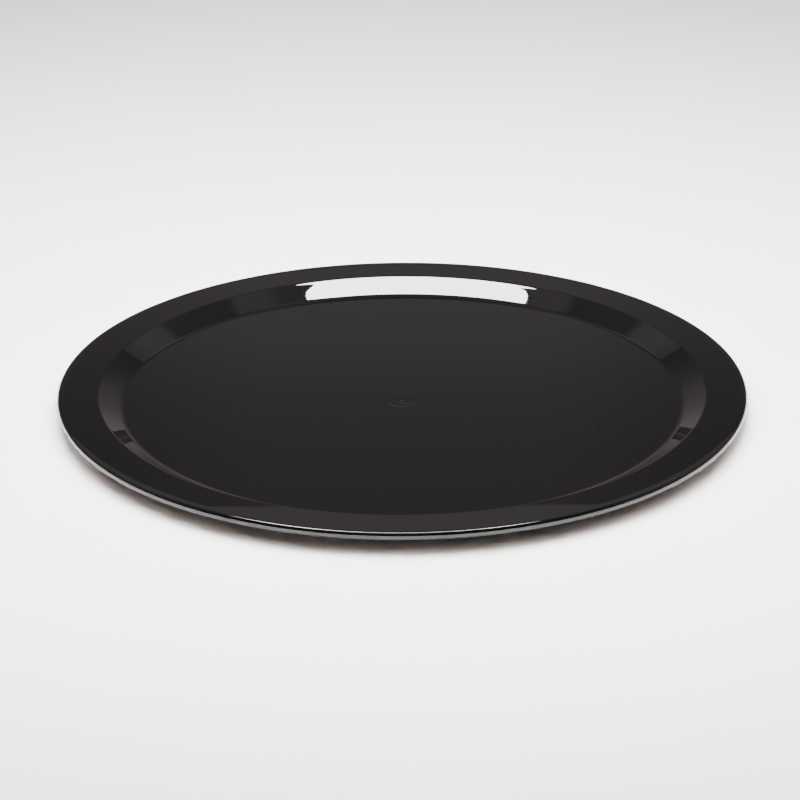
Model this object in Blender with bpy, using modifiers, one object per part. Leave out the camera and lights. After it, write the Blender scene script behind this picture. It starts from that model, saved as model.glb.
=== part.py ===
"""A round serving tray: one gloss black moulding with a rounded lip, standing on six soft feet.

Units are metres and +Z is up. The origin is on the tray's axis, at the height of the surface that it
stands on. Each piece is an object of its own in the collection "serving_tray".
"""

import math

import bpy
from mathutils import Vector

# Tray outline
TRAY_DIAMETER = 0.400
TRAY_HEIGHT = 0.014
PLASTIC_THICKNESS = 0.0026

# Lip: the rim's turned-down edge, three arcs in a row. The angles are from straight up, outwards.
LIP_SHOULDER_RADIUS = 0.0022
LIP_SIDE_RADIUS = 0.0046
LIP_FOOT_RADIUS = 0.0012
LIP_SHOULDER_ANGLE = 78
LIP_FOOT_ANGLE = 108

# Well: the hollow inside the rim, with a straight sloping wall and a flat floor
WALL_TOP_RADIUS = 0.1759
WALL_FOOT_RADIUS = 0.1626
WELL_DEPTH = 0.0075
WALL_TOP_FILLET = 0.0025
WALL_FOOT_FILLET = 0.0065

# Underside: a low stiffening ring that joins the cups that hold the feet
FOOT_COUNT = 6
FOOT_CIRCLE_RADIUS = 0.148
RING_WIDTH = 0.0022
RING_DEPTH = 0.0014
CUP_WALL = 0.0016
CUP_DEPTH = 0.0022
CUP_RECESS = 0.0003

# Feet: soft buttons, slightly tapered, pressed into the cups
FOOT_TOP_DIAMETER = 0.0140
FOOT_SOLE_DIAMETER = 0.0124
FOOT_EDGE = 0.0005
FIT_GAP = 0.0003

# How finely the round shapes are cut
TRAY_SEGMENTS = 96
CUP_SEGMENTS = 24
FOOT_SEGMENTS = 24
LIP_SHOULDER_STEPS = 3
LIP_SIDE_STEPS = 2
LIP_FOOT_STEPS = 4
FILLET_STEPS = 2
MERGE_DISTANCE = 0.00001

# Heights above the surface that the tray stands on
FLOOR_TOP_Z = TRAY_HEIGHT - WELL_DEPTH
FLOOR_UNDERSIDE_Z = FLOOR_TOP_Z - PLASTIC_THICKNESS
RIM_UNDERSIDE_Z = TRAY_HEIGHT - PLASTIC_THICKNESS
CUP_ROOF_Z = FLOOR_UNDERSIDE_Z + CUP_RECESS
CUP_MOUTH_Z = FLOOR_UNDERSIDE_Z - CUP_DEPTH

CUP_BORE_RADIUS = FOOT_TOP_DIAMETER / 2 + FIT_GAP
CUP_OUTER_RADIUS = CUP_BORE_RADIUS + CUP_WALL


def clear_objects():
    """Removes every object, so that the script gives the same result in any file."""
    for old in list(bpy.data.objects):
        bpy.data.objects.remove(old)


def new_collection(name):
    """A collection linked to the scene."""
    collection = bpy.data.collections.new(name)
    bpy.context.scene.collection.children.link(collection)
    return collection


def new_material(name, colour, roughness, metallic=0.0):
    """A Principled BSDF material with one colour."""
    material = bpy.data.materials.new(name)
    material.use_nodes = True
    shader = material.node_tree.nodes["Principled BSDF"]
    shader.inputs["Base Color"].default_value = (*colour, 1.0)
    shader.inputs["Roughness"].default_value = roughness
    shader.inputs["Metallic"].default_value = metallic
    return material


def outward(angle):
    """The direction at an angle from straight up, outwards, in the (radius, height) plane."""
    return Vector((math.sin(math.radians(angle)), math.cos(math.radians(angle))))


def arc(centre, radius, start, end, steps):
    """Points of an arc whose outward direction turns from one angle to another."""
    return [centre + radius * outward(start + (end - start) * i / steps) for i in range(steps + 1)]


def lip_outline():
    """The lip's section, from the flat rim over the shoulder, down the side and round the foot."""
    side_centre = Vector((TRAY_DIAMETER / 2 - LIP_SIDE_RADIUS, 0))
    shoulder_centre = side_centre + (LIP_SIDE_RADIUS - LIP_SHOULDER_RADIUS) * outward(LIP_SHOULDER_ANGLE)
    foot_centre = side_centre + (LIP_SIDE_RADIUS - LIP_FOOT_RADIUS) * outward(LIP_FOOT_ANGLE)
    outline = arc(shoulder_centre, LIP_SHOULDER_RADIUS, 0, LIP_SHOULDER_ANGLE, LIP_SHOULDER_STEPS)
    outline += arc(side_centre, LIP_SIDE_RADIUS, LIP_SHOULDER_ANGLE, 90, 1)[1:]
    outline += arc(side_centre, LIP_SIDE_RADIUS, 90, LIP_FOOT_ANGLE, LIP_SIDE_STEPS)[1:]
    outline += arc(foot_centre, LIP_FOOT_RADIUS, LIP_FOOT_ANGLE, 270, LIP_FOOT_STEPS)[1:]
    lift = Vector((0, TRAY_HEIGHT - outline[0].y))
    return [point + lift for point in outline]


def fillet(before, corner, after, radius, steps):
    """Points that round off a corner of an outline, tangent to the lines on both sides of it."""
    towards_before = (before - corner).normalized()
    towards_after = (after - corner).normalized()
    half_angle = towards_before.angle(towards_after) / 2
    middle = (towards_before + towards_after).normalized()
    centre = corner + middle * radius / math.sin(half_angle)
    first = corner + towards_before * radius / math.tan(half_angle) - centre
    last = corner + towards_after * radius / math.tan(half_angle) - centre
    turn = first.angle_signed(last)
    start = math.atan2(first.y, first.x)
    points = []
    for i in range(steps + 1):
        angle = start - turn * i / steps
        points.append(centre + radius * Vector((math.cos(angle), math.sin(angle))))
    return points


def shell_outline():
    """The moulding's section, from the axis out along its top, round the lip and back underneath."""
    wall_slope = math.atan2(WELL_DEPTH, WALL_TOP_RADIUS - WALL_FOOT_RADIUS)
    underside_shift = PLASTIC_THICKNESS * math.tan(wall_slope / 2)
    lip = lip_outline()

    top_axis = Vector((0, FLOOR_TOP_Z))
    top_foot = Vector((WALL_FOOT_RADIUS, FLOOR_TOP_Z))
    top_edge = Vector((WALL_TOP_RADIUS, TRAY_HEIGHT))
    under_rim = Vector((lip[-1].x, RIM_UNDERSIDE_Z))
    under_edge = Vector((WALL_TOP_RADIUS + underside_shift, RIM_UNDERSIDE_Z))
    under_foot = Vector((WALL_FOOT_RADIUS + underside_shift, FLOOR_UNDERSIDE_Z))
    under_axis = Vector((0, FLOOR_UNDERSIDE_Z))

    ring_outer = FOOT_CIRCLE_RADIUS + RING_WIDTH / 2
    ring_inner = FOOT_CIRCLE_RADIUS - RING_WIDTH / 2
    ring_z = FLOOR_UNDERSIDE_Z - RING_DEPTH

    outline = [top_axis]
    outline += fillet(top_axis, top_foot, top_edge, WALL_FOOT_FILLET, FILLET_STEPS)
    outline += fillet(top_foot, top_edge, lip[0], WALL_TOP_FILLET, FILLET_STEPS)
    outline += lip
    outline.append(under_rim)
    outline += fillet(under_rim, under_edge, under_foot, WALL_TOP_FILLET, FILLET_STEPS)
    outline += fillet(under_edge, under_foot, under_axis, WALL_FOOT_FILLET, FILLET_STEPS)
    outline += [Vector((ring_outer, FLOOR_UNDERSIDE_Z)), Vector((ring_outer, ring_z))]
    outline += [Vector((ring_inner, ring_z)), Vector((ring_inner, FLOOR_UNDERSIDE_Z))]
    outline.append(under_axis)
    return outline


def foot_outline():
    """A foot's section, from the axis at its top, down its side, to the axis at its sole."""
    top = CUP_ROOF_Z - FIT_GAP
    top_radius = FOOT_TOP_DIAMETER / 2
    sole_radius = FOOT_SOLE_DIAMETER / 2
    return [
        Vector((0, top)),
        Vector((top_radius - FOOT_EDGE, top)),
        Vector((top_radius, top - FOOT_EDGE)),
        Vector((top_radius, CUP_MOUTH_Z)),
        Vector((sole_radius, FOOT_EDGE)),
        Vector((sole_radius - FOOT_EDGE, 0)),
        Vector((0, 0)),
    ]


def turned_object(name, outline, segments, collection):
    """An object turned round the Z axis from an outline of (radius, height) points."""
    mesh = bpy.data.meshes.new(name)
    vertices = [(point.x, 0, point.y) for point in outline]
    edges = [(i, i + 1) for i in range(len(vertices) - 1)]
    mesh.from_pydata(vertices, edges, [])
    turned = bpy.data.objects.new(name, mesh)
    collection.objects.link(turned)
    screw = turned.modifiers.new("turn", "SCREW")
    screw.axis = "Z"
    screw.angle = math.tau
    screw.steps = segments
    screw.render_steps = segments
    screw.use_merge_vertices = True
    screw.merge_threshold = MERGE_DISTANCE
    screw.use_smooth_shade = True
    return turned


def cut_or_join(target, tool, operation):
    """Adds a Boolean modifier, and marks the other shape as a tool that isn't shown."""
    boolean = target.modifiers.new(tool.name, "BOOLEAN")
    boolean.operation = operation
    boolean.solver = "EXACT"
    boolean.object = tool
    tool.hide_render = True
    tool.display_type = "WIRE"


def place_on_foot_circle(item, index):
    """Puts an object at one of the feet's places."""
    angle = math.tau * (index + 0.5) / FOOT_COUNT
    item.location.x = FOOT_CIRCLE_RADIUS * math.cos(angle)
    item.location.y = FOOT_CIRCLE_RADIUS * math.sin(angle)


def cup_cylinder(name, radius, low, high, index, collection):
    """An upright cylinder at one of the feet's places."""
    bpy.ops.mesh.primitive_cylinder_add(vertices=CUP_SEGMENTS, radius=radius, depth=high - low)
    cylinder = bpy.context.active_object
    cylinder.name = name
    for owner in cylinder.users_collection:
        owner.objects.unlink(cylinder)
    collection.objects.link(cylinder)
    place_on_foot_circle(cylinder, index)
    cylinder.location.z = (low + high) / 2
    return cylinder


def make_shell(collection, tools):
    """The tray itself: one moulding, with the six cups for its feet under the floor."""
    shell = turned_object("tray_shell", shell_outline(), TRAY_SEGMENTS, collection)
    middle_of_floor = (FLOOR_TOP_Z + FLOOR_UNDERSIDE_Z) / 2
    for i in range(FOOT_COUNT):
        boss = cup_cylinder(f"cup_boss_{i + 1}", CUP_OUTER_RADIUS, CUP_MOUTH_Z, middle_of_floor, i, tools)
        cut_or_join(shell, boss, "UNION")
    for i in range(FOOT_COUNT):
        bore = cup_cylinder(f"cup_bore_{i + 1}", CUP_BORE_RADIUS, 0, CUP_ROOF_Z, i, tools)
        cut_or_join(shell, bore, "DIFFERENCE")
    shell.data.materials.append(new_material("gloss_black_plastic", (0.008, 0.007, 0.0075), 0.08))
    return shell


def make_feet(collection):
    """The soft feet. They share one mesh."""
    first = turned_object("non_slip_foot_1", foot_outline(), FOOT_SEGMENTS, collection)
    first.data.materials.append(new_material("dark_grey_soft_rubber", (0.03, 0.03, 0.032), 0.75))
    feet = [first]
    for i in range(1, FOOT_COUNT):
        foot = first.copy()
        foot.name = f"non_slip_foot_{i + 1}"
        collection.objects.link(foot)
        feet.append(foot)
    for i, foot in enumerate(feet):
        place_on_foot_circle(foot, i)
    return feet


clear_objects()
tray_collection = new_collection("serving_tray")
tool_collection = new_collection("moulding_tools")
tray = bpy.data.objects.new("serving_tray_origin", None)
tray_collection.objects.link(tray)
make_shell(tray_collection, tool_collection).parent = tray
for soft_foot in make_feet(tray_collection):
    soft_foot.parent = tray
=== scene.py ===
import math

import bpy
from mathutils import Matrix, Vector


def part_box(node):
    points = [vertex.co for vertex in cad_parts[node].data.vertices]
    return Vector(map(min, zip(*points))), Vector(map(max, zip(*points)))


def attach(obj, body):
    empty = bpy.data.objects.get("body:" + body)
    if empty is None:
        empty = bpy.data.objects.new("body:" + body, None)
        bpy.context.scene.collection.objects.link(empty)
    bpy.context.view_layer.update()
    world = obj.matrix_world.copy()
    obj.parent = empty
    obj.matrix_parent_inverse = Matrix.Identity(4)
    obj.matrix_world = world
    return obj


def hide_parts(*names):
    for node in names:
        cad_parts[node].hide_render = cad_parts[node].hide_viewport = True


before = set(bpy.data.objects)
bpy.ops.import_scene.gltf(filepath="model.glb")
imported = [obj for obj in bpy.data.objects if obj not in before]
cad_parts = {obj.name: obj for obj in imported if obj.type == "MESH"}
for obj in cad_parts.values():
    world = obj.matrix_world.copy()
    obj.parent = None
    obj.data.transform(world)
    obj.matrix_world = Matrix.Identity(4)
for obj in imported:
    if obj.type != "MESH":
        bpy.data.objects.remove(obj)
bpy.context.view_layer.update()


# The tray is one injection moulding of black styrenic plastic, gated in the middle of its floor. The
# steel mould was polished to a mirror, so the plastic comes out glossy. From the middle outwards it
# is a flat floor, a short sloping wall, a flat rim, and a lip that turns down.

SHELL_LOW, SHELL_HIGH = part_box("tray_shell")
TRAY_RADIUS = SHELL_HIGH.x
RIM_TOP_Z = SHELL_HIGH.z
WALL_TOP_RADIUS = 0.1759
WALL_FOOT_RADIUS = 0.1626
WELL_DEPTH = 0.0075
PLASTIC_THICKNESS = 0.0026
WALL_TOP_FILLET = 0.0025
WALL_FOOT_FILLET = 0.0065
WALL_PIECE_MM = 0.25

# The wall is drawn slightly bowed, with a faint swell right below its top edge, and a little
# differently at the back, as shrinkage may leave it. Steps from the floor up: (length in mm, slope at
# the step's end as a share of the mean, at the front and at the back). The end steps are fillets.
WALL_STEPS = [(3.5, 1.025, 1.02), (3.1, 1.015, 1.02), (3.1, 1.0, 1.013), (1.5, 0.99, 0.997),
              (1.5, 0.985, 0.98), (1.3, 0.98, 0.968), (0.8, 0.975, 0.965), (0.5, 0.98, 1.01),
              (0.45, 1.0, 1.065), (0.45, 1.0, 1.065), (1.25, 0.0, 0.0)]

# The lip as arcs in a row: (radius, outward angle at its end), the angle from straight up.
LIP_ARCS = [(0.0130, 13), (0.0006, 39), (0.0026, 78), (0.00295, 150), (0.0010, 270)]

# The gate: a low nub where the sprue was cut, with a faint dimple round it, in a shallow recess.
GATE_NUB_RADIUS = 0.0016
GATE_NUB_HEIGHT = 0.00016
GATE_DIMPLE_RADIUS = 0.0042
GATE_DIMPLE_DEPTH = 0.00005
GATE_RING_RADIUS = 0.0078
GATE_RING_STEP = 0.0001
GATE_RING_HALF_WIDTH = 0.0008

# Underneath, a low stiffening ring joins the cups that hold the feet.
RING_WIDTH = 0.0022
RING_DEPTH = 0.0014
CUP_WALL = 0.0016
CUP_GAP = 0.0003
CUP_EDGE = 0.0003
CUP_DEPTH = 0.0022
CUP_SEGMENTS = 64
LIP_ROOT_FILLET = 0.0005

TURN_SEGMENTS = 360
ARC_STEP_DEGREES = 3.0
SUPPORT_GAP = 0.00025

FLOOR_TOP_Z = RIM_TOP_Z - WELL_DEPTH
FLOOR_UNDERSIDE_Z = FLOOR_TOP_Z - PLASTIC_THICKNESS
RIM_UNDERSIDE_Z = RIM_TOP_Z - PLASTIC_THICKNESS
FEET = [name for name in sorted(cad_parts) if name.startswith("non_slip_foot")]


def outward(angle):
    """The direction at an angle from straight up, outwards, in the (radius, height) plane."""
    return Vector((math.sin(math.radians(angle)), math.cos(math.radians(angle))))


def arc(centre, radius, start, end):
    """Points of an arc whose outward direction turns from one angle to another, in degrees."""
    steps = max(2, round(abs(end - start) / ARC_STEP_DEGREES))
    return [centre + radius * outward(start + (end - start) * i / steps) for i in range(steps + 1)]


def fillet(before, corner, after, radius):
    """Points that round off a corner, with a point close by on the flat at each side of it."""
    towards_before = (before - corner).normalized()
    towards_after = (after - corner).normalized()
    half_angle = towards_before.angle(towards_after) / 2
    reach = radius / math.tan(half_angle)
    centre = corner + (towards_before + towards_after).normalized() * radius / math.sin(half_angle)
    first = corner + towards_before * reach - centre
    last = corner + towards_after * reach - centre
    start = math.degrees(math.atan2(first.x, first.y))
    turn = math.degrees(first.angle_signed(last))
    points = arc(centre, radius, start, start + turn)
    lead_in = corner + towards_before * (reach + SUPPORT_GAP)
    lead_out = corner + towards_after * (reach + SUPPORT_GAP)
    return [lead_in, *points, lead_out]


def lip_outline():
    """The lip's section, from the flat rim over the shoulder, down the side and round the foot."""
    points = [Vector((0, 0))]
    angle = 0
    for radius, end in LIP_ARCS:
        centre = points[-1] - radius * outward(angle)
        points += arc(centre, radius, angle, end)[1:]
        angle = end
    widest = max(point.x for point in points)
    shift = Vector((TRAY_RADIUS - widest, RIM_TOP_Z))
    return [point + shift for point in points]


def wall_outline(back_share):
    """The well's wall from the floor up to the rim, drawn by its slope at each step along it."""
    mid_slope = math.atan2(WELL_DEPTH, WALL_TOP_RADIUS - WALL_FOOT_RADIUS)
    points = [Vector((0, 0))]
    before = 0.0
    for length, front, back in WALL_STEPS:
        after = front + (back - front) * back_share
        pieces = max(2, round(length / WALL_PIECE_MM))
        for i in range(pieces):
            slope = mid_slope * (before + (after - before) * (i + 0.5) / pieces)
            points.append(points[-1] + Vector((math.cos(slope), math.sin(slope))) * length / pieces)
        before = after
    scale = WELL_DEPTH / points[-1].y
    start = Vector((WALL_FOOT_RADIUS - WALL_FOOT_FILLET * math.tan(mid_slope / 2), FLOOR_TOP_Z))
    gap = Vector((SUPPORT_GAP, 0))
    points = [point * scale + start for point in points]
    return [points[0] - gap, *points, points[-1] + gap]


def swell(start, end, steps):
    """Points of a smooth S from one (radius, height) point to another."""
    points = []
    for i in range(steps + 1):
        share = i / steps
        lift = 0.5 - 0.5 * math.cos(math.pi * share)
        points.append(Vector((start.x + (end.x - start.x) * share, start.y + (end.y - start.y) * lift)))
    return points


def gate_outline():
    """The middle of the floor: the gate's nub, its dimple and the edge of its shallow recess."""
    low = FLOOR_TOP_Z - GATE_RING_STEP
    nub_top = Vector((0, low + GATE_NUB_HEIGHT))
    nub_foot = Vector((GATE_NUB_RADIUS, low - GATE_DIMPLE_DEPTH))
    dimple_edge = Vector((GATE_DIMPLE_RADIUS, low))
    recess_foot = Vector((GATE_RING_RADIUS - GATE_RING_HALF_WIDTH, low))
    recess_edge = Vector((GATE_RING_RADIUS + GATE_RING_HALF_WIDTH, FLOOR_TOP_Z))
    points = swell(nub_top, nub_foot, 6)
    points += swell(nub_foot, dimple_edge, 8)[1:]
    points += swell(recess_foot, recess_edge, 8)
    points.append(recess_edge + Vector((SUPPORT_GAP, 0)))
    return points


def moulding_outline(angle):
    """The moulding's section, from the axis out along its top, round the lip and back underneath."""
    back_share = max(0.0, math.sin(angle)) ** 2
    wall_slope = math.atan2(WELL_DEPTH, WALL_TOP_RADIUS - WALL_FOOT_RADIUS)
    underside_shift = PLASTIC_THICKNESS * math.tan(wall_slope / 2)
    lip = lip_outline()
    under_rim = Vector((lip[-1].x, RIM_UNDERSIDE_Z))
    under_edge = Vector((WALL_TOP_RADIUS + underside_shift, RIM_UNDERSIDE_Z))
    under_foot = Vector((WALL_FOOT_RADIUS + underside_shift, FLOOR_UNDERSIDE_Z))
    under_axis = Vector((0, FLOOR_UNDERSIDE_Z))
    outline = gate_outline() + wall_outline(back_share)
    outline.append(lip[0] - Vector((SUPPORT_GAP, 0)))
    outline += lip
    outline += fillet(lip[-1], under_rim, under_edge, LIP_ROOT_FILLET)
    outline += fillet(under_rim, under_edge, under_foot, WALL_TOP_FILLET)
    outline += fillet(under_edge, under_foot, under_axis, WALL_FOOT_FILLET)
    ring_outer = FOOT_CIRCLE_RADIUS + RING_WIDTH / 2
    ring_inner = FOOT_CIRCLE_RADIUS - RING_WIDTH / 2
    ring_z = FLOOR_UNDERSIDE_Z - RING_DEPTH
    outline += [Vector((ring_outer, FLOOR_UNDERSIDE_Z)), Vector((ring_outer, ring_z))]
    outline += [Vector((ring_inner, ring_z)), Vector((ring_inner, FLOOR_UNDERSIDE_Z))]
    outline.append(under_axis)
    return outline


def new_object(name, data):
    """An object linked to the scene, from its mesh, light or camera."""
    made = bpy.data.objects.new(name, data)
    bpy.context.scene.collection.objects.link(made)
    return made


def turned_mesh(name, outline_at, segments):
    """A closed mesh turned round the Z axis. outline_at gives the section at an angle, axis to axis."""
    first = outline_at(0)
    vertices = [(0, 0, first[0].y), (0, 0, first[-1].y)]
    for i in range(segments):
        angle = math.tau * i / segments
        inner = outline_at(angle)[1:-1]
        vertices += [(p.x * math.cos(angle), p.x * math.sin(angle), p.y) for p in inner]
    count = len(inner)
    faces = []
    for i in range(segments):
        here = 2 + i * count
        there = 2 + (i + 1) % segments * count
        faces.append((0, here, there))
        faces += [(here + k, here + k + 1, there + k + 1, there + k) for k in range(count - 1)]
        faces.append((1, there + count - 1, here + count - 1))
    mesh = bpy.data.meshes.new(name)
    mesh.from_pydata(vertices, [], faces)
    mesh.shade_smooth()
    return mesh


def colour(hex_code):
    """An sRGB hex colour as linear RGBA."""
    values = [int(hex_code[i:i + 2], 16) / 255 for i in (1, 3, 5)]
    return [v / 12.92 if v <= 0.04045 else ((v + 0.055) / 1.055) ** 2.4 for v in values] + [1.0]


def add_node(tree, kind, settings=None, links=None):
    """Adds a node: settings go to its own attributes or its input sockets, links to its inputs."""
    node = tree.nodes.new(kind)
    for key, value in (settings or {}).items():
        if isinstance(key, str) and hasattr(node, key):
            setattr(node, key, value)
        else:
            node.inputs[key].default_value = value
    for key, source in (links or {}).items():
        tree.links.new(source, node.inputs[key])
    return node


def new_material(name):
    """An empty node material, with its node tree."""
    material = bpy.data.materials.new(name)
    material.use_nodes = True
    material.node_tree.nodes.clear()
    return material, material.node_tree


# Pattern counts per metre: polish patches 36 mm across, ripples of 22 mm, hairlines about 71 mm long
# and 0.67 mm apart, and specks of dust in cells of 9 mm. Real hairlines are finer and closer; these
# are drawn coarse enough to show.
POLISH_PATCHES = 28.0
POLISH_RIPPLES = 45.0
POLISH_RIPPLE_HEIGHT = 0.000004
HAIRLINES = (14.0, 1500.0, 14.0)
HAIRLINE_NOISE_TURN = (0.0, 0.0, 0.6)
HAIRLINE_ROUGHNESS = 0.012
DUST_CELLS = 110.0


def gloss_black_moulded_styrenic():
    """Black styrenic plastic from a polished mould: deep black that mirrors the room like lacquer,
    with the faint unevenness of the mould's polish, hairlines from wiping and a few specks of dust.
    The hairlines and the dust are kept very faint."""
    material, tree = new_material("gloss_black_moulded_styrenic")
    place = add_node(tree, "ShaderNodeTexCoord").outputs["Object"]
    polish = add_node(tree, "ShaderNodeTexNoise", {"Scale": POLISH_PATCHES, "Detail": 3.0},
                      {"Vector": place})
    haze = add_node(tree, "ShaderNodeMapRange",
                    {"From Min": 0.35, "From Max": 0.7, "To Min": 0.015, "To Max": 0.025},
                    {"Value": polish.outputs["Fac"]})
    wiped = add_node(tree, "ShaderNodeMapping", {"Rotation": HAIRLINE_NOISE_TURN, "Scale": HAIRLINES},
                     {"Vector": place})
    streaks = add_node(tree, "ShaderNodeTexNoise", {"Scale": 1.0, "Detail": 2.0},
                       {"Vector": wiped.outputs["Vector"]})
    hairlines = add_node(tree, "ShaderNodeMapRange",
                         {"From Min": 0.67, "From Max": 0.73, "To Max": HAIRLINE_ROUGHNESS},
                         {"Value": streaks.outputs["Fac"]})
    roughness = add_node(tree, "ShaderNodeMath", {"operation": "ADD"},
                         {0: haze.outputs["Result"], 1: hairlines.outputs["Result"]})
    cells = add_node(tree, "ShaderNodeTexVoronoi", {"Scale": DUST_CELLS}, {"Vector": place})
    dust = add_node(tree, "ShaderNodeMapRange", {"From Min": 0.045, "From Max": 0.02},
                    {"Value": cells.outputs["Distance"]})
    shade = add_node(tree, "ShaderNodeMix",
                     {"data_type": "RGBA", 6: colour("#030303"), 7: colour("#1d1c1b")},
                     {"Factor": dust.outputs["Result"]})
    ripple = add_node(tree, "ShaderNodeTexNoise", {"Scale": POLISH_RIPPLES, "Detail": 1.0},
                      {"Vector": place})
    bump = add_node(tree, "ShaderNodeBump", {"Strength": 1.0, "Distance": POLISH_RIPPLE_HEIGHT},
                    {"Height": ripple.outputs["Fac"]})
    shader = add_node(tree, "ShaderNodeBsdfPrincipled", {"IOR": 1.53},
                      {"Base Color": shade.outputs[2], "Roughness": roughness.outputs["Value"],
                       "Normal": bump.outputs["Normal"]})
    add_node(tree, "ShaderNodeOutputMaterial", {}, {"Surface": shader.outputs["BSDF"]})
    return material


def foot_place(name):
    """The middle of a foot in plan, and its radius, from the CAD."""
    low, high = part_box(name)
    middle = (low + high) / 2
    return Vector((middle.x, middle.y, 0)), (high.x - low.x) / 2


def cup_outlines():
    """A cup's section as the boss that is joined to the floor and the bore that is cut from it."""
    outer = CUP_BORE_RADIUS + CUP_WALL
    boss_top = (FLOOR_TOP_Z + FLOOR_UNDERSIDE_Z) / 2
    boss = [Vector((0, boss_top)), Vector((outer, boss_top)), Vector((outer, CUP_MOUTH_Z + CUP_EDGE)),
            Vector((outer - CUP_EDGE, CUP_MOUTH_Z)), Vector((0, CUP_MOUTH_Z))]
    bore = [Vector((0, CUP_ROOF_Z)), Vector((CUP_BORE_RADIUS, CUP_ROOF_Z)), Vector((CUP_BORE_RADIUS, 0)),
            Vector((0, 0))]
    return boss, bore


def change_shape(target, name, outline, place, operation):
    """Joins a turned shape to an object's mesh, or cuts it away."""
    tool = new_object(name, turned_mesh(name, lambda angle: outline, CUP_SEGMENTS))
    tool.location = place
    boolean = target.modifiers.new(name, "BOOLEAN")
    boolean.operation = operation
    boolean.solver = "EXACT"
    boolean.object = tool
    bpy.context.view_layer.update()
    finished = target.evaluated_get(bpy.context.evaluated_depsgraph_get())
    mesh = bpy.data.meshes.new_from_object(finished)
    target.modifiers.clear()
    target.data = mesh
    bpy.data.objects.remove(tool)


FOOT_CIRCLE_RADIUS = foot_place(FEET[0])[0].length
CUP_BORE_RADIUS = foot_place(FEET[0])[1] + CUP_GAP
CUP_ROOF_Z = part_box(FEET[0])[1].z + CUP_GAP
CUP_MOUTH_Z = FLOOR_UNDERSIDE_Z - CUP_DEPTH

moulding = new_object("tray_moulding", turned_mesh("tray_moulding", moulding_outline, TURN_SEGMENTS))
boss_outline, bore_outline = cup_outlines()
for foot_name in FEET:
    cup_place = foot_place(foot_name)[0]
    change_shape(moulding, "cup_boss", boss_outline, cup_place, "UNION")
    change_shape(moulding, "cup_bore", bore_outline, cup_place, "DIFFERENCE")
moulding.data.materials.clear()
moulding.data.materials.append(gloss_black_moulded_styrenic())
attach(moulding, "root")
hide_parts("tray_shell")


# The feet are six soft buttons of dark grey thermoplastic elastomer, moulded with two fine rings in
# the sole for grip, and pressed into the cups under the floor.

SOLE_EDGE = 0.0005
SOLE_TAPER = 0.0008
SOLE_GROOVES = [0.0022, 0.0042]
SOLE_GROOVE_WIDTH = 0.0007
SOLE_GROOVE_DEPTH = 0.0004
FOOT_SEGMENTS = 64

# Pattern counts per metre: a pebble of 0.45 mm, and dust in patches of 4 mm.
PEBBLES = 2200.0
PEBBLE_HEIGHT = 0.00004
FOOT_DUST_PATCHES = 260.0


def foot_outline(name):
    """A foot's section, from the axis at its top, down its tapered side, to the axis at its sole."""
    low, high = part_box(name)
    top_radius = (high.x - low.x) / 2
    sole_radius = top_radius - SOLE_TAPER
    points = [Vector((0, high.z)), Vector((top_radius - SOLE_EDGE, high.z))]
    points += arc(Vector((top_radius - SOLE_EDGE, high.z - SOLE_EDGE)), SOLE_EDGE, 0, 90)[1:]
    points.append(Vector((top_radius, CUP_MOUTH_Z)))
    points += arc(Vector((sole_radius - SOLE_EDGE, low.z + SOLE_EDGE)), SOLE_EDGE, 90, 180)
    for radius in reversed(SOLE_GROOVES):
        outer = radius + SOLE_GROOVE_WIDTH / 2
        inner = radius - SOLE_GROOVE_WIDTH / 2
        points += [Vector((outer, low.z)), Vector((radius, low.z + SOLE_GROOVE_DEPTH)),
                   Vector((inner, low.z))]
    points.append(Vector((0, low.z)))
    return points


def matt_moulded_elastomer():
    """Soft elastomer from a spark-eroded mould: matt dark grey with a fine pebble that catches dust."""
    material, tree = new_material("matt_moulded_elastomer")
    place = add_node(tree, "ShaderNodeTexCoord").outputs["Object"]
    pebble = add_node(tree, "ShaderNodeTexNoise", {"Scale": PEBBLES, "Detail": 2.0}, {"Vector": place})
    dust = add_node(tree, "ShaderNodeTexNoise", {"Scale": FOOT_DUST_PATCHES, "Detail": 4.0},
                    {"Vector": place})
    tone = add_node(tree, "ShaderNodeMix",
                    {"data_type": "RGBA", 6: colour("#26262a"), 7: colour("#3a3a3c")},
                    {"Factor": dust.outputs["Fac"]})
    matt = add_node(tree, "ShaderNodeMapRange", {"To Min": 0.68, "To Max": 0.86},
                    {"Value": dust.outputs["Fac"]})
    bump = add_node(tree, "ShaderNodeBump", {"Strength": 0.6, "Distance": PEBBLE_HEIGHT},
                    {"Height": pebble.outputs["Fac"]})
    shader = add_node(tree, "ShaderNodeBsdfPrincipled", {"IOR": 1.5},
                      {"Base Color": tone.outputs[2], "Roughness": matt.outputs["Result"],
                       "Normal": bump.outputs["Normal"]})
    add_node(tree, "ShaderNodeOutputMaterial", {}, {"Surface": shader.outputs["BSDF"]})
    return material


elastomer = matt_moulded_elastomer()
for number, foot_name in enumerate(FEET, start=1):
    outline = foot_outline(foot_name)
    foot_mesh = turned_mesh("foot_button", lambda angle: outline, FOOT_SEGMENTS)
    foot = new_object(f"foot_button_{number}", foot_mesh)
    foot.location = foot_place(foot_name)[0]
    foot.data.materials.append(elastomer)
    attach(foot, "root")
    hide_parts(foot_name)


# The floor is a wide sheet of white acrylic with a matt face, which the tray stands on. It is plain and
# pale, and isn't part of the tray.

FLOOR_HALF_WIDTH = 12.0


def sheet_mesh(name, corners):
    """A flat four-cornered sheet."""
    mesh = bpy.data.meshes.new(name)
    mesh.from_pydata(corners, [], [(0, 1, 2, 3)])
    return mesh


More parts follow.
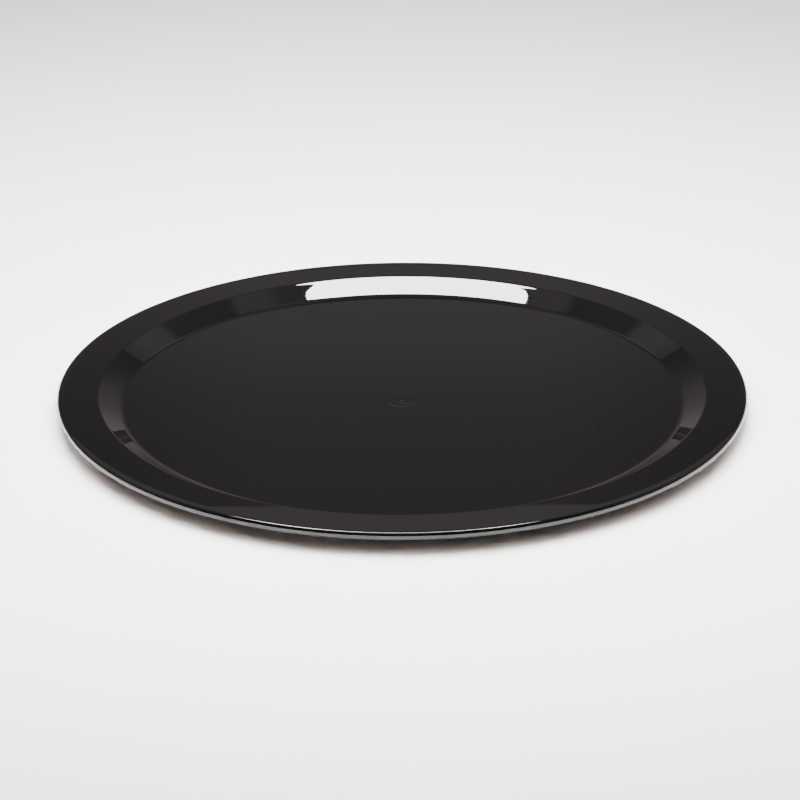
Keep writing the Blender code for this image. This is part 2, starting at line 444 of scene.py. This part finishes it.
def pale_acrylic_board():
    """White acrylic sheet with a matt face: light soaks into it, so shadows on it glow faintly warm."""
    material, tree = new_material("pale_acrylic_board")
    shader = add_node(tree, "ShaderNodeBsdfPrincipled",
                      {"subsurface_method": "BURLEY", "Base Color": colour("#f2f1f0"), "Roughness": 0.9,
                       "Subsurface Weight": 1.0, "Subsurface Radius": (1.0, 0.93, 0.88),
                       "Subsurface Scale": 0.019})
    add_node(tree, "ShaderNodeOutputMaterial", {}, {"Surface": shader.outputs["BSDF"]})
    return material


floor_mesh = sheet_mesh("studio_floor", [(x * FLOOR_HALF_WIDTH, y * FLOOR_HALF_WIDTH, 0)
                                         for x, y in ((-1, -1), (1, -1), (1, 1), (-1, 1))])
studio_floor = new_object("studio_floor", floor_mesh)
floor_mesh.materials.append(pale_acrylic_board())


# The softbox hangs above the tray. Its light is a plain square one over the tray's middle. Its face,
# eight-sided white fabric with a round opening over the tray, is there for the gloss to mirror.

SOFTBOX_HEIGHT = 1.0
SOFTBOX_LIGHT_SIZE = 0.84
SOFTBOX_POWER = 26.0
SOFTBOX_SPREAD_DEGREES = 90
FACE_CENTRE = Vector((-0.061, 0.051))
FACE_RADIUS = 0.450
FACE_SIDES = 8
FACE_OPENING_RADIUS = 0.24
FACE_SEGMENTS = 128
FACE_GLOW = 75.0


def softbox_face_mesh():
    """The eight-sided face round its own centre, with the round opening about the tray's axis."""
    vertices = []
    half_side = math.pi / FACE_SIDES
    for i in range(FACE_SEGMENTS):
        angle = math.tau * i / FACE_SEGMENTS
        inset = math.cos(half_side) / math.cos((angle + half_side) % (2 * half_side) - half_side)
        edge = Vector((math.cos(angle), math.sin(angle))) * FACE_RADIUS * inset + FACE_CENTRE
        vertices += [(*(edge.normalized() * FACE_OPENING_RADIUS), 0), (*edge, 0)]
    faces = [(k, (k + 2) % len(vertices), (k + 3) % len(vertices), k + 1)
             for k in range(0, len(vertices), 2)]
    mesh = bpy.data.meshes.new("softbox_face")
    mesh.from_pydata(vertices, [], faces)
    return mesh


def mirrored_only(item):
    """The camera and the light pass through it: only the gloss shows it."""
    item.visible_camera = False
    item.visible_diffuse = False
    item.visible_shadow = False
    item.visible_transmission = False


def softbox_fabric():
    """White diffusion fabric, evenly lit from behind."""
    material, tree = new_material("softbox_fabric")
    glow = add_node(tree, "ShaderNodeEmission", {"Color": colour("#ffffff"), "Strength": FACE_GLOW})
    add_node(tree, "ShaderNodeOutputMaterial", {}, {"Surface": glow.outputs["Emission"]})
    return material


softbox_light = bpy.data.lights.new("softbox_light", "AREA")
softbox_light.shape = "SQUARE"
softbox_light.size = SOFTBOX_LIGHT_SIZE
softbox_light.energy = SOFTBOX_POWER
softbox_light.spread = math.radians(SOFTBOX_SPREAD_DEGREES)
softbox = new_object("softbox_light", softbox_light)
softbox.location.z = SOFTBOX_HEIGHT
softbox.visible_camera = False
softbox.visible_glossy = False

softbox_face = new_object("softbox_face", softbox_face_mesh())
softbox_face.location.z = SOFTBOX_HEIGHT
softbox_face.data.materials.append(softbox_fabric())
mirrored_only(softbox_face)


# The room's light is soft and faintly pink, in bands by height, and darker on the camera's side. A low
# screen of grey paper stands behind the tray, also there for the gloss to mirror; its brightness is
# painted light: it glows by itself, brighter at the bottom and darker towards its top.

# The light's tint in linear red, green and blue, and the brightness by degrees above the horizon.
ROOM_TINT = (1.0, 0.88, 0.935)
ROOM_BANDS = [(-90, 0.30), (8, 0.38), (15, 0.32), (19, 0.27), (23, 0.24), (24.5, 0.34), (32, 0.34),
              (36, 0.5), (42, 0.55), (44, 0.28), (57, 0.30), (59, 0.62), (64, 0.62), (67, 0.42),
              (75, 0.38), (90, 0.42)]
CAMERA_SIDE_DIMMING = 0.35
ROOM_DIM_FROM, ROOM_DIM_TO = -0.45, 0.05

SCREEN_PLACE_Y = 0.48
SCREEN_TOP_Z = 0.305
SCREEN_HALF_WIDTH = 0.62
# The screen's painted glow by height in metres, standing in for light from below, and how it dims and then
# clears away from its middle.
SCREEN_PAINTED_GLOW = [(0.0, 0.33), (0.06, 0.33), (0.10, 0.28), (0.145, 0.28), (0.17, 0.26), (0.185, 0.24),
                (0.205, 0.212), (0.25, 0.18), (SCREEN_TOP_Z, 0.165)]
SCREEN_PAINTED_SIDE_DIMMING = 0.75
SCREEN_DIM_FROM, SCREEN_DIM_TO = 0.08, 0.22
SCREEN_CLEAR_FROM = 0.3


def graded(tree, share, steps):
    """A colour ramp in the room's tint, from (share, brightness) steps that run from 0 to 1."""
    ramp = add_node(tree, "ShaderNodeValToRGB", {}, {"Fac": share})
    stops = ramp.color_ramp.elements
    for position, brightness in steps:
        ends = {0.0: stops[0], 1.0: stops[-1]}
        stop = ends[position] if position in ends else stops.new(position)
        stop.color = [brightness * part for part in ROOM_TINT] + [1.0]
    return ramp


def painted_glow_paper():
    """Grey paper with painted light: it glows by itself, brighter at the bottom and darker towards its top
    as if lit from below, and it is clear at its two sides.
    """
    material, tree = new_material("painted_glow_paper")
    place = add_node(tree, "ShaderNodeTexCoord").outputs["Object"]
    axes = add_node(tree, "ShaderNodeSeparateXYZ", {}, {"Vector": place})
    share = add_node(tree, "ShaderNodeMapRange", {"From Max": SCREEN_TOP_Z}, {"Value": axes.outputs["Z"]})
    tone = graded(tree, share.outputs["Result"], [(z / SCREEN_TOP_Z, tone) for z, tone in SCREEN_PAINTED_GLOW])
    aside = add_node(tree, "ShaderNodeMath", {"operation": "ABSOLUTE"}, {0: axes.outputs["X"]})
    dim = add_node(tree, "ShaderNodeMapRange",
                   {"From Min": SCREEN_DIM_FROM, "From Max": SCREEN_DIM_TO, "To Min": 1.0,
                    "To Max": SCREEN_PAINTED_SIDE_DIMMING, "interpolation_type": "SMOOTHSTEP"},
                   {"Value": aside.outputs["Value"]})
    # The paper's brightness is painted light: it glows by itself and is not lit by the lamps.
    glow = add_node(tree, "ShaderNodeEmission", {},
                    {"Color": tone.outputs["Color"], "Strength": dim.outputs["Result"]})
    clear = add_node(tree, "ShaderNodeMapRange",
                     {"From Min": SCREEN_CLEAR_FROM, "From Max": SCREEN_HALF_WIDTH,
                      "interpolation_type": "SMOOTHSTEP"}, {"Value": aside.outputs["Value"]})
    gap = add_node(tree, "ShaderNodeBsdfTransparent")
    mix = add_node(tree, "ShaderNodeMixShader", {},
                   {0: clear.outputs["Result"], 1: glow.outputs["Emission"], 2: gap.outputs["BSDF"]})
    add_node(tree, "ShaderNodeOutputMaterial", {}, {"Surface": mix.outputs["Shader"]})
    return material


room = bpy.data.worlds.new("studio_room")
bpy.context.scene.world = room
room.use_nodes = True
air = room.node_tree
air.nodes.clear()
direction = add_node(air, "ShaderNodeTexCoord").outputs["Generated"]
axes = add_node(air, "ShaderNodeSeparateXYZ", {}, {"Vector": direction})
elevation = add_node(air, "ShaderNodeMath", {"operation": "ARCSINE"}, {0: axes.outputs["Z"]})
share = add_node(air, "ShaderNodeMapRange", {"From Min": -math.pi / 2, "From Max": math.pi / 2},
                 {"Value": elevation.outputs["Value"]})
bands = graded(air, share.outputs["Result"], [((angle + 90) / 180, tone) for angle, tone in ROOM_BANDS])
dimming = add_node(air, "ShaderNodeMapRange",
                   {"From Min": ROOM_DIM_FROM, "From Max": ROOM_DIM_TO, "To Min": CAMERA_SIDE_DIMMING,
                    "To Max": 1.0, "interpolation_type": "SMOOTHSTEP"}, {"Value": axes.outputs["Y"]})
light = add_node(air, "ShaderNodeBackground", {},
                 {"Color": bands.outputs["Color"], "Strength": dimming.outputs["Result"]})
add_node(air, "ShaderNodeOutputWorld", {}, {"Surface": light.outputs["Background"]})

screen_mesh = sheet_mesh("screen", [(-SCREEN_HALF_WIDTH, 0, 0), (SCREEN_HALF_WIDTH, 0, 0),
                                    (SCREEN_HALF_WIDTH, 0, SCREEN_TOP_Z),
                                    (-SCREEN_HALF_WIDTH, 0, SCREEN_TOP_Z)])
screen = new_object("screen", screen_mesh)
screen.location.y = SCREEN_PLACE_Y
screen_mesh.materials.append(painted_glow_paper())
mirrored_only(screen)


# The camera stands in front of the tray and looks down at it at about 23 degrees through a long lens.
# It is turned a hair off the tray's middle and off the level.

CAMERA_DISTANCE = 3.2
CAMERA_ELEVATION = 23.12
LOOK_DOWN = 23.230
LOOK_ASIDE = -0.025
CAMERA_ROLL = -0.30
CAMERA_LENS = 248.4
CAMERA_SENSOR = 36.0
CAMERA_REACH = 100.0

camera_data = bpy.data.cameras.new("camera")
camera_data.lens = CAMERA_LENS
camera_data.sensor_width = CAMERA_SENSOR
camera_data.clip_end = CAMERA_REACH
camera = new_object("camera", camera_data)
up_angle = math.radians(CAMERA_ELEVATION)
spot = Vector((0, -CAMERA_DISTANCE * math.cos(up_angle), RIM_TOP_Z + CAMERA_DISTANCE * math.sin(up_angle)))
turn = Matrix.Rotation(math.radians(-LOOK_ASIDE), 4, "Z")
tilt = Matrix.Rotation(math.radians(90 - LOOK_DOWN), 4, "X")
roll = Matrix.Rotation(math.radians(CAMERA_ROLL), 4, "Z")
camera.matrix_world = Matrix.Translation(spot) @ turn @ tilt @ roll
bpy.context.scene.camera = camera
